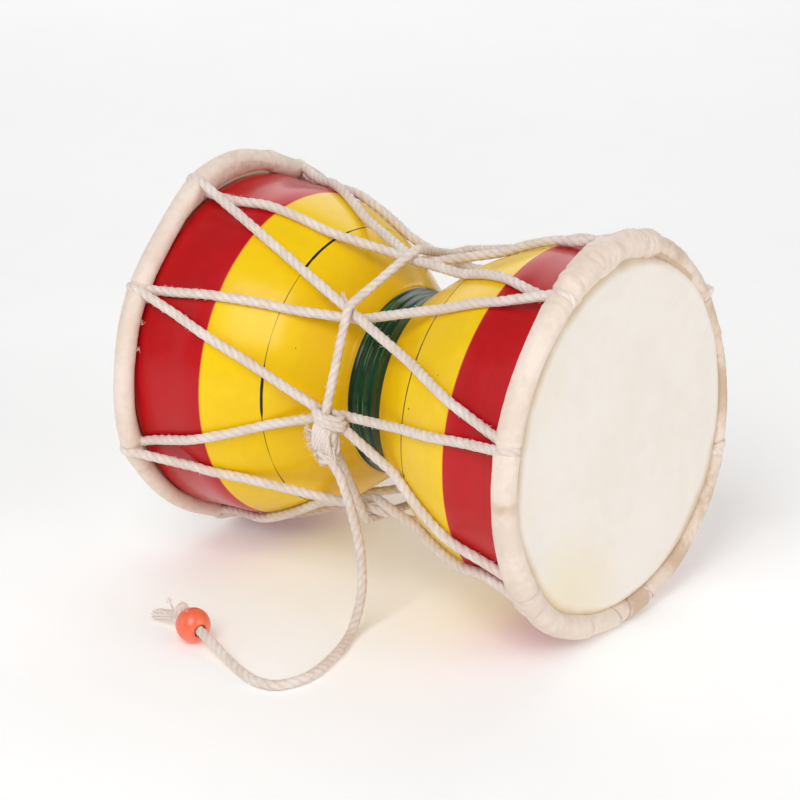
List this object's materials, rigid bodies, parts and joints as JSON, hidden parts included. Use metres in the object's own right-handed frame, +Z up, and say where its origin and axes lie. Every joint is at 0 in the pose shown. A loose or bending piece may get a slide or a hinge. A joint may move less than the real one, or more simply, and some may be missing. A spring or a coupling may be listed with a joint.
{
  "type": "damaru drum",
  "caption": "Hourglass hand drum with a hide on each end, rope lacing drawn in at the waist, and a bead striker on a loose cord.",
  "frame": {"origin": "on the surface that the drum lies on, under the middle of its own box, without the loose striker cord, its bead and its end knot", "axes": "+X along the drum's axis towards the near head, +Z up, and the striker lies on the -Y side"},
  "size_m": [0.1607, 0.1677, 0.1285],
  "materials": {
    "lacquered_wood": "turned wood in glossy lacquer, with red, yellow and green bands and thin black scribed lines",
    "hide": "pale scraped hide, matt",
    "hide_roll": "pale wrinkled hide wound round a ring, matt",
    "cotton": "undyed laid cotton cord",
    "bead_plastic": "glossy orange"
  },
  "bodies": {
    "root": {"drum_shell": "lacquered_wood", "head_hide_near": "hide", "head_hide_far": "hide", "rim_roll_near": "hide_roll", "rim_roll_far": "hide_roll", "lacing_cord": "cotton", "waist_tie": "cotton", "striker_cord": "cotton", "striker_bead": "bead_plastic", "striker_end_knot": "cotton"}
  },
  "joints": []
}
